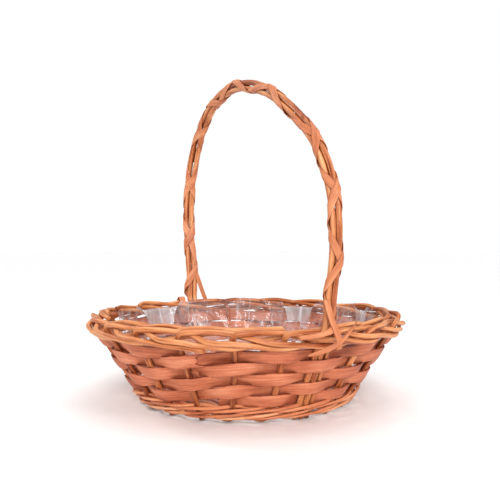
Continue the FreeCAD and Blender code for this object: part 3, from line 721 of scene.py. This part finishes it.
def stick_route(side):
    """Route of a base stick from tip to tip, along X before it is turned."""
    offset = side * SPACING
    if side == 0:
        half = [(0, 0), (60, 0), (BASE_REACH, 0)]
    else:
        angle = FAN * side
        half = [(0, offset), (11.0 + 3.2, offset), (40 * cos(angle), 40 * sin(angle)),
                (BASE_REACH * cos(angle), BASE_REACH * sin(angle))]
    other = [(-x, y) for x, y in half[:0:-1]]
    return [(x, y, BASE_MID) for x, y in other + half]


for number, side in enumerate((-1, 0, 1), start=1):
    for kind, turned in (("pierced", True), ("threaded", False)):
        rng = default_rng(500 + number + (10 if turned else 0))
        route = stick_route(side)
        if turned:
            route = [(-y, x, z) for x, y, z in route]
        line = spaced(rounded(route), 3.0)
        parts = Parts()
        # A threaded stick is thinner where it passes through the pierced ones
        from_slot = np.maximum(np.linalg.norm(line[:, :2], axis=1) - 10.0, 0)
        flat = 1 - 0.42 * np.exp(-(from_slot / 3.0) ** 2) * (0.0 if turned else 1.0)
        add_rod(parts, rng, line, STICK, slants=(0.5, 0.5), squeeze=lambda s, flat=flat: flat)
        parts.make(f"{kind}_stick_{number}", thin_look, f"base_stick_{kind}_{number}")

RINGS, PER_GROUP = 16, 4
RING_INNER, RING_PITCH, RING_LIFT = 28.0, 5.08, 4.7
# Each round is two thin rods side by side
TWIN_INSETS = (1.2, 3.7)
TWIN = 2.4
for group in range(RINGS // PER_GROUP):
    parts = Parts()
    for index in range(group * PER_GROUP, (group + 1) * PER_GROUP):
        for twin, inset in enumerate(TWIN_INSETS):
            rng = default_rng(600 + 2 * index + twin)
            radius = RING_INNER + index * RING_PITCH + inset
            start_up = 1 if index % 2 == 0 else -1
            angles = np.linspace(0, 2 * pi, SPOKES * 12, endpoint=False)
            swing = np.cos(SPOKES * angles / 2)
            wave = start_up * RING_LIFT * swing * (1.2 - 0.2 * swing ** 2)
            reach = radius + wander(rng, angles, 0.25, 1.3, 2 * pi)
            line = np.stack([reach * np.cos(angles), reach * np.sin(angles), BASE_MID + wave], axis=1)
            add_rod(parts, rng, spaced(line, 2.6, True), TWIN, closed=True, sides=8, lumps=3)
    parts.make(f"base_rounds_{group + 1}", thin_look, f"base_weave_{group + 1}")

# ---- handle

# Height of a leaning rod's middle where its cut end stands on the floor
FOOT = ROD / 2 * sin(LEAN)
# The hoop's distances are counted from this far above its near foot
RUN_IN = 4.3

hoop_points = [(0, -wall_radius(FOOT), FOOT), (0, -wall_radius(BORDER_HEIGHT), BORDER_HEIGHT)]
hoop_points += [(0, along, height) for along, height in HOOP_ROUTE]
hoop_points += [(0, wall_radius(BORDER_HEIGHT), BORDER_HEIGHT), (0, wall_radius(FOOT), FOOT)]
hoop = spaced(rounded(hoop_points), 2.0)
hoop_at = lengths(hoop) - RUN_IN
hoop_along = tangents(hoop)
free = np.where(hoop[:, 2] > BORDER_HEIGHT)[0]
border_near, border_far = hoop_at[free[0]], hoop_at[free[-1]]
hoop_turn = pi * np.clip((hoop_at - border_near) / (border_far - border_near), 0, 1)
x_axis = np.array([1.0, 0.0, 0.0])
hoop_across = x_axis * np.cos(hoop_turn)[:, None] + np.cross(x_axis, hoop_along) * np.sin(hoop_turn)[:, None]
hoop_back = np.cross(hoop_along, hoop_across)

# Width of the hoop's rods at distances along it, and how much thinner or thicker each is at its foot
HANDLE_AT = (0.0, 95.0, 125.0, 300.0, 520.0, 760.0, 900.0, 1030.0)
HANDLE_WIDTH = (6.6, 6.4, 6.0, 6.0, 6.6, 7.4, 7.4, 6.8)
# Over this stretch the hoop turns paler
FAR_HALF = (640, 780)
for name, side, foot_scale in (("left", -1, 0.92), ("right", 1, 1.16)):
    rng = default_rng(700 + side)
    near_foot = np.clip((border_near - hoop_at) / 30.0, 0, 1)
    opened = 1.1 * np.exp(-((hoop_at - 695) / 22.0) ** 2) + 0.5 * np.exp(-((hoop_at - 470) / 25.0) ** 2)
    spread = np.interp(hoop_at, HANDLE_AT, HANDLE_WIDTH) / 2 + 0.1 + opened
    line = hoop + hoop_across * (side * spread + wander(rng, hoop_at, 0.12, 90))[:, None]
    line = line + hoop_back * wander(rng, hoop_at, 0.3, 120)[:, None]
    down_near = np.clip((border_near - hoop_at) / border_near, 0, 1)
    line = line + x_axis * (FOOT_DRIFT * down_near - 3.6 * near_foot)[:, None]
    parts = Parts()
    foot_scales = (foot_scale, foot_scale, 1)
    add_rod(parts, rng, line,
            lambda at: np.interp(at, HANDLE_AT, HANDLE_WIDTH) * np.interp(at, (0, 90, 130), foot_scales),
            lumps=7, slants=(0.3, 0.3), sides=16, shade_and_tone_along=lambda at: np.interp(at, FAR_HALF, (0.0, 1.0)))
    parts.make(f"hoop_rod_{name}", rod_look, f"handle_rod_{name}")

# Places along the hoop where each strip passes the middle of the bundle's front, a turn apart
OVER_PASSES = (112.0, 172.0, 243.0, 305.0, 410.0, 505.0, 590.0, 657.0, 738.0, 818.0, 873.0, 930.0)
UNDER_PASSES = (125.0, 193.0, 255.0, 322.0, 455.0, 553.0, 650.0, 733.0, 812.0, 1010.0)


def bundle_point(at, turns, clear):
    """Point and outward direction on the two rods' outline at a distance along the hoop.

    turns counts turns round the outline from the middle of its front, towards the second rod.
    """
    rod = np.interp(at, HANDLE_AT, HANDLE_WIDTH)
    half, bend = rod / 2 + 0.15, rod / 2 + clear
    whole = 4 * half + 2 * pi * bend
    q = np.mod(turns, 1.0) * whole
    arc = pi * bend
    first, second = half, half + arc
    third, fourth = second + 2 * half, second + 2 * half + arc
    sections = [q < first, q < second, q < third, q < fourth]
    turn = np.select(
        sections,
        [-pi / 2 + 0 * q, -pi / 2 + (q - first) / bend, pi / 2 + 0 * q, pi / 2 + (q - third) / bend],
        3 * pi / 2)
    x = np.select(sections, [q, half, half - (q - second), -half], -half + (q - fourth))
    on_bend = (q >= first) & (q < second) | (q >= third) & (q < fourth)
    x = x + bend * np.cos(turn) * on_bend
    y = bend * np.sin(turn)

    def along_hoop(values):
        return np.stack([np.interp(at, hoop_at, values[:, k]) for k in range(3)], axis=-1)

    centre, across, back = along_hoop(hoop), unit(along_hoop(hoop_across)), unit(along_hoop(hoop_back))
    point = centre + across * x[..., None] + back * y[..., None]
    return point, unit(across * np.cos(turn)[..., None] + back * np.sin(turn)[..., None])


def strip_width(at):
    """Width of the wrapping strips along the hoop."""
    return np.interp(at, (118.0, 300.0, 520.0, 760.0, 900.0), (7.0, 7.2, 7.8, 9.0, 9.4))


def add_wound(parts, rng, passes, hand, first, last, clear, lifted=None, loose=None):
    """Adds a flat strip wound on the handle: it follows the rods' outline across its whole width.

    clear, lifted and loose are how far it stands off the rods: everywhere, at crossings, at its end.
    """
    at = np.arange(first, last, 1.5)
    turns = np.interp(at, passes, np.arange(len(passes)))
    rod = np.interp(at, HANDLE_AT, HANDLE_WIDTH)
    whole = 4 * (rod / 2 + 0.15) + 2 * pi * (rod / 2 + clear)
    rate = hand * np.gradient(turns, at) * whole
    scale = np.hypot(1.0, rate)
    rise = clear + (lifted(at) if lifted else 0) + np.abs(wander(rng, at, 0.16, 55))
    if loose:
        rise = rise + loose(at)
    columns, side = STRIP_COLUMNS, STRIP_FACES
    half = strip_width(at) / 2 * (1 + wander(rng, at, 0.05, 50))
    low = half + wander(rng, at, 0.16, 8)
    high = half + wander(rng, at, 0.16, 9)
    reach = np.where(columns[None, :] < 0, low[:, None], high[:, None]) * columns[None, :]
    s_at = at[:, None] - reach * (rate / scale)[:, None]
    turned = hand * turns[:, None] + reach / (scale * whole)[:, None]
    depth = side * (1 - 0.5 * np.abs(columns) ** 10) * STRIP_THICK / 2
    point, away = bundle_point(s_at, turned, 0 * s_at + (rise[:, None] + STRIP_THICK / 2))
    point = point + away * depth[None, :, None]
    offset = rng.uniform(0, 900)
    along = np.concatenate([[0], np.cumsum(scale[1:] * np.diff(at))])
    # The colour darkens sharply at the strip's two edges: partly stain on the cut edges, partly painted shade
    # of the gaps where strips meet.
    value = 0.2 + np.interp(at, FAR_HALF, (0.0, 0.8))[:, None] - 1.5 * np.abs(columns[None, :]) ** 14
    grain = np.stack([np.broadcast_to(along[:, None] + offset, reach.shape), reach + offset,
                      np.broadcast_to(depth[None, :] + 40 * side[None, :], reach.shape)], axis=-1)
    faces = tube_faces(len(at), 2 * STRIP_ACROSS, False)
    faces += strip_end(0, True) + strip_end((len(at) - 1) * 2 * STRIP_ACROSS, False)
    if hand > 0:
        faces = [face[::-1] for face in faces]
    parts.add(point.reshape(-1, 3), faces, grain.reshape(-1, 3), value.ravel())


def crossing_lift(at):
    """How far the over strip rises where it crosses the other one."""
    turns = np.interp(at, OVER_PASSES, np.arange(len(OVER_PASSES)))
    other = np.interp(at, UNDER_PASSES, np.arange(len(UNDER_PASSES)))
    gap = np.abs(np.angle(np.exp(2j * pi * (turns + other)))) / (2 * pi)
    return 1.05 * np.exp(-(gap / 0.19) ** 4)


parts = Parts()
rng = default_rng(801)
add_wound(parts, rng, UNDER_PASSES, -1, 122.0, 866.0, 0.25)
add_tail(parts, rng, (
    (-5.8, -190.0, 132.0), (-4.8, -193.0, 121.0), (-3.0, -196.5, 111.0), (-1.0, -200.5, 102.0),
    (1.5, -201.5, 93.0), (3.0, -198.5, 85.0)), [0.0, -1.0, 0.25], 6.6, 0.1)
add_tail(parts, rng, (
    (4.6, 183.0, 150.0), (6.5, 180.5, 140.0), (11.0, 179.0, 126.0), (15.5, 178.0, 112.0),
    (19.0, 177.0, 103.5), (19.5, 175.5, 95.0)), [0.35, -1.0, 0.0], 7.2, 0.5, torn=(0.5, 2.0))
parts.make("wrap_under", wrap_look, "handle_wrap_under")

parts = Parts()
rng = default_rng(802)
add_wound(parts, rng, OVER_PASSES, 1, 124.0, 905.0, 0.3, crossing_lift,
          lambda at: 3.2 * np.exp(-((at - 893.0) / 9.0) ** 4))
add_tail(parts, rng, (
    (0.0, -196.0, 105.5), (-7.0, -199.0, 103.0), (-14.0, -199.5, 101.0), (-23.0, -198.5, 99.5),
    (-31.0, -196.5, 98.5), (-38.0, -194.0, 98.0)), [0.0, -1.0, 0.45], 6.0, 0.6, torn=(0.5, 2.5),
    flares=((0, 1.0), (1, 0.66)))
parts.make("wrap_over", wrap_look, "handle_wrap_over")

# ---- ties at the handle's feet


# The far strip's loop round the border: out of the wall, down it, and along it
TIE_LOOP = (
    (9.5, 0, -2), (10.5, 8, 0), (10.2, 18, 2), (5.0, 25.0, 3), (-4.0, 26.0, 3), (-10.4, 19, 2),
    (-10.8, 8, 0), (-8.5, -0.5, -1), (-3.0, -4.0, -2), (4.0, -3.8, -3), (9.8, 0, -4),
)
# How far the loop stands along the border from the handle's far foot
TIE_SHIFT = 19.5


def tie_route():
    """Route of the strip once round the border beside the handle's far foot."""
    route = []
    for out, down, drift in TIE_LOOP:
        height = BORDER_HEIGHT + 1.0 - down * cos(LEAN)
        radius = wall_radius(height)
        angle = pi / 2 + (TIE_SHIFT + drift) / radius
        route.append(polar(radius + out * cos(LEAN), angle, height - out * sin(LEAN)))
    return np.array(route)


parts = Parts()
add_tail(parts, default_rng(819), (
    (33.0, -184.0, 107.5), (21.5, -192.0, 102.5), (10.5, -199.0, 97.0), (0.5, -202.0, 91.5),
    (-8.0, -198.5, 86.5), (-16.0, -192.0, 82.0), (-23.0, -185.0, 79.0)), [0.0, -1.0, 0.5], 6.0, 0.3,
    torn=(2.5, 1.0), flares=((0, 0.32), (0.4, 0.55), (0.55, 0.9), (0.75, 0.85), (1, 0.4)))
parts.make("tie_near", wrap_look, "foot_tie_near")

line = spaced(rounded(tie_route(), False, 4), 1.4)
angle = pi / 2 + TIE_SHIFT / 180.0
lengthwise = np.array([-sin(angle), cos(angle), 0.0])
away = line - line.mean(axis=0)
away = unit(away - lengthwise * (away @ lengthwise)[:, None])
parts = Parts()
add_strip(parts, default_rng(821), line, np.broadcast_to(lengthwise, line.shape), away, 8.6,
          STRIP_THICK, 0.3, edge_swing=0.4, torn=(1.5, 1.5))
parts.make("tie_far", wrap_look, "foot_tie_far")

# ---- film liner

low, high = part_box("liner_film")
FLOOR_Z, LIP_TOP = low.z / MM, high.z / MM
LIP_RADIUS = high.x / MM
LIP_FOOT = 76.0
FLOOR_RADIUS = wall_radius(FLOOR_Z) - 9.6 / cos(LEAN)
# Points around the film, and rows of them in its free edge
AROUND, EDGE_ROWS = 800, 18
# Crumples, large to small: their size, depth, share of their size up the wall, depth on the floor
CRUMPLES = ((46.0, 5.2, 0.55, 1.0), (21.0, 2.3, 0.7, 0.7), (9.0, 0.8, 0.8, 0.35))
UPRIGHT_FOLDS = 26
# Where the film's rim is folded over to the inside: angle, half width, fold's height, lean, extra height
FLAPS = (
    (radians(118), radians(17), 99.0, 5.0, 24.0),
    (radians(34), radians(11), 97.0, 5.0, 14.0),
    (radians(-14), radians(10), 102.0, 4.0, 14.0),
)


def angle_off(angles):
    """Angles brought between minus and plus half a turn."""
    return np.angle(np.exp(1j * angles))


def round_points(radius, height):
    """Points at radii and heights, all round."""
    points = np.stack([radius * np.cos(theta), radius * np.sin(theta), height], axis=-1)
    return points.reshape(-1, 3)


def nearest(points, seeds, share_up):
    """Distance from each point to the nearest two seeds, and the sum of their numbers."""
    stretch = np.array([1.0, 1.0, share_up])
    tree = KDTree(len(seeds))
    for index, seed in enumerate(seeds * stretch):
        tree.insert(seed, index)
    tree.balance()
    found = [tree.find_n(point, 2) for point in points * stretch]
    return np.array([(pair[0][2], pair[1][2], pair[0][1] + pair[1][1]) for pair in found]).T


rng = default_rng(900)
profile = spaced(rounded(np.array([
    (0.0, 0.0, FLOOR_Z + 0.3), (FLOOR_RADIUS - 9, 0.0, FLOOR_Z + 0.3), (FLOOR_RADIUS + 1, 0.0, FLOOR_Z + 3.0),
    (LIP_RADIUS - 1.5, 0.0, LIP_FOOT), (LIP_RADIUS + 0.5, 0.0, LIP_TOP)]), False, 5), 1.7)[1:]
theta = np.linspace(0, 2 * pi, AROUND, endpoint=False)
rows = len(profile)
up_share = np.clip((profile[:, 2] - 16.0) / (LIP_TOP - 16.0), 0, 1)[:, None]
radius = np.repeat(profile[:, :1], AROUND, axis=1)
height = np.repeat(profile[:, 2:], AROUND, axis=1)

# Crumples push the film inward, and the sharpest ridges between them are creases
smooth = round_points(radius, height)
push = np.zeros(len(smooth))
crease = np.zeros(len(smooth))
for spread, deep, share_up, floor_deep in CRUMPLES:
    area = pi * FLOOR_RADIUS ** 2 + 2 * pi * LIP_RADIUS * 90 / share_up * 0.8
    seeds = smooth[rng.integers(0, len(smooth), int(area / (0.7 * spread ** 2)))] + rng.normal(0, 4, (1, 3))
    near, far, pair = nearest(smooth, seeds, share_up)
    sharp = rng.uniform(0, 1, 2 * len(seeds))[pair.astype(int)] ** 3 * np.clip(spread / 21.0, 0.3, 1.0)
    crease = np.maximum(crease, sharp * np.clip(1 - (far - near) / 1.6, 0, 1))
    fold = np.clip(1 - near / spread, 0, 1) + 0.35 * np.clip((far - near) / spread, 0, 1)
    grow = floor_deep / deep + (1 - floor_deep / deep) * up_share ** 0.8
    push += deep * np.repeat(grow, AROUND, axis=1).ravel() * fold
push = push.reshape(rows, AROUND)
for _ in range(UPRIGHT_FOLDS):
    centre = rng.uniform(0, 2 * pi)
    slope, span, deep = rng.uniform(-0.16, 0.16), rng.uniform(0.018, 0.06), rng.uniform(1.5, 5.0)
    start = rng.uniform(0.1, 0.6)
    off = angle_off(theta[None, :] - centre - slope * up_share)
    rise = np.clip((up_share - start) / (1 - start), 0, 1)
    push += deep * rise * np.maximum(0, 1 - np.abs(off) / (span * (0.2 + 0.8 * rise)))
    folded = np.clip(1 - np.abs(off) / 0.006, 0, 1) * (rise > 0.02) * rng.uniform(0.2, 1.0)
    crease = np.maximum(crease, folded.ravel())
wall = np.clip((profile[:, 2] - FLOOR_Z - 1.0) / 10.0, 0, 1)[:, None]
radius = radius - push * wall
height = height + push * (1 - wall) * 0.8

# The free edge is uneven, and stands higher at two places
rim = wander(rng, theta, 2.4, 0.55, 2 * pi) + wander(rng, theta, 1.8, 0.13, 2 * pi)
rim += (6.0 * np.exp(-((theta - 2 * pi + radians(16)) / 0.35) ** 2)
        + 3.0 * np.exp(-((theta - radians(66)) / 0.6) ** 2))
top = np.clip((np.arange(rows)[:, None] - (rows - EDGE_ROWS)) / EDGE_ROWS, 0, 1)
height = height + top ** 1.4 * (rim - 0.5)[None, :]
lip_share = np.clip((profile[:, 2] - LIP_FOOT) / (LIP_TOP - LIP_FOOT), 0, 1)[:, None]
flap = np.zeros((rows, AROUND))
for centre, span, line_z, sink, extra in FLAPS:
    window = np.clip(1.35 - (np.abs(angle_off(theta - centre)) / span) ** 2 * 1.35, 0, 1)[None, :]
    height = height + extra * window * lip_share
    above = np.maximum(0, height - line_z) * window
    height = height - 2 * above
    radius = radius - (1.2 + sink * above / 20) * np.clip(above, 0, 1)
    flap = np.maximum(flap, np.clip(above, 0, 1))
limit = np.interp(height, [FLOOR_Z, LIP_FOOT, LIP_TOP], [FLOOR_RADIUS, LIP_RADIUS, LIP_RADIUS + 6.0])
radius = np.clip(np.minimum(radius, limit), 1.0, None)
height = np.maximum(height, FLOOR_Z + 0.05)
sheet_points = np.concatenate([[[0.0, 0.0, FLOOR_Z + 0.4]], round_points(radius, height)])
sheet_tone = np.concatenate([[0.0], flap.ravel() + 1.5 * crease])
faces = [(0, 1 + j, 1 + (j + 1) % AROUND) for j in range(AROUND)]
faces += tube_faces(rows, AROUND, False, 1)
film = new_piece("film_sheet", sheet_points, faces, sheet_points, sheet_tone, film_look,
                 "liner", "liner_film")

# ---- floor, light and camera

floor_mesh = bpy.data.meshes.new("floor")
floor_mesh.from_pydata([(-9, -9, 0), (9, -9, 0), (9, 14, 0), (-9, 14, 0)], [], [(0, 1, 2, 3)])
floor = bpy.data.objects.new("floor", floor_mesh)
scene.collection.objects.link(floor)
paint = Nodes("floor_paint")
shader = paint.node("BsdfPrincipled", {}, Base_Color=(0.95, 0.95, 0.95, 1.0), Roughness=0.9)
shader.inputs["Specular IOR Level"].default_value = 0.1
floor_mesh.materials.append(paint.finish(shader))

world = bpy.data.worlds.new("studio")
world.use_nodes = True
background = world.node_tree.nodes["Background"]
background.inputs["Color"].default_value = (1.0, 1.0, 1.0, 1.0)
# The backdrop is white to the camera and lights the basket less strongly
seen = world.node_tree.nodes.new("ShaderNodeLightPath")
strength = world.node_tree.nodes.new("ShaderNodeMapRange")
strength.inputs["To Min"].default_value = 0.42
strength.inputs["To Max"].default_value = 1.0
world.node_tree.links.new(seen.outputs["Is Camera Ray"], strength.inputs["Value"])
world.node_tree.links.new(strength.outputs[0], background.inputs["Strength"])
scene.world = world


def lamp(kind, name, place, target, power, **settings):
    """Light at a place, pointed at a target."""
    light = bpy.data.lights.new(name, kind)
    light.energy = power
    for key, value in settings.items():
        setattr(light, key, value)
    holder = bpy.data.objects.new(name, light)
    holder.location = place
    holder.rotation_mode = "QUATERNION"
    holder.rotation_quaternion = (Vector(target) - Vector(place)).to_track_quat("-Z", "Y")
    scene.collection.objects.link(holder)


lamp("SUN", "key", (-1.0, -2.4, 1.15), (0, 0, 0), 2.0, angle=radians(28))
lamp("SUN", "top", (0.3, -0.4, 2.6), (0, 0, 0), 1.25, angle=radians(50))
lamp("AREA", "glint", (-0.9, 0.9, 1.1), (0, 0, 0.1), 5.0, size=0.22)
lamp("AREA", "spark", (0.5, -1.5, 0.9), (0, 0, 0.12), 4.0, size=0.22)

# Focal length as a share of the sensor's width
FOCAL_SHARE = 1.2892
camera_data = bpy.data.cameras.new("camera")
camera_data.sensor_width = 36.0
camera_data.lens = FOCAL_SHARE * camera_data.sensor_width
camera = bpy.data.objects.new("camera", camera_data)
camera.location = (-0.3383, -0.7076, 0.1834)
camera.rotation_euler = (radians(90 - 0.42), 0.0, radians(-25.93))
scene.collection.objects.link(camera)
bpy.context.scene.camera = camera
scene.view_settings.view_transform = "Standard"
scene.view_settings.look = "None"
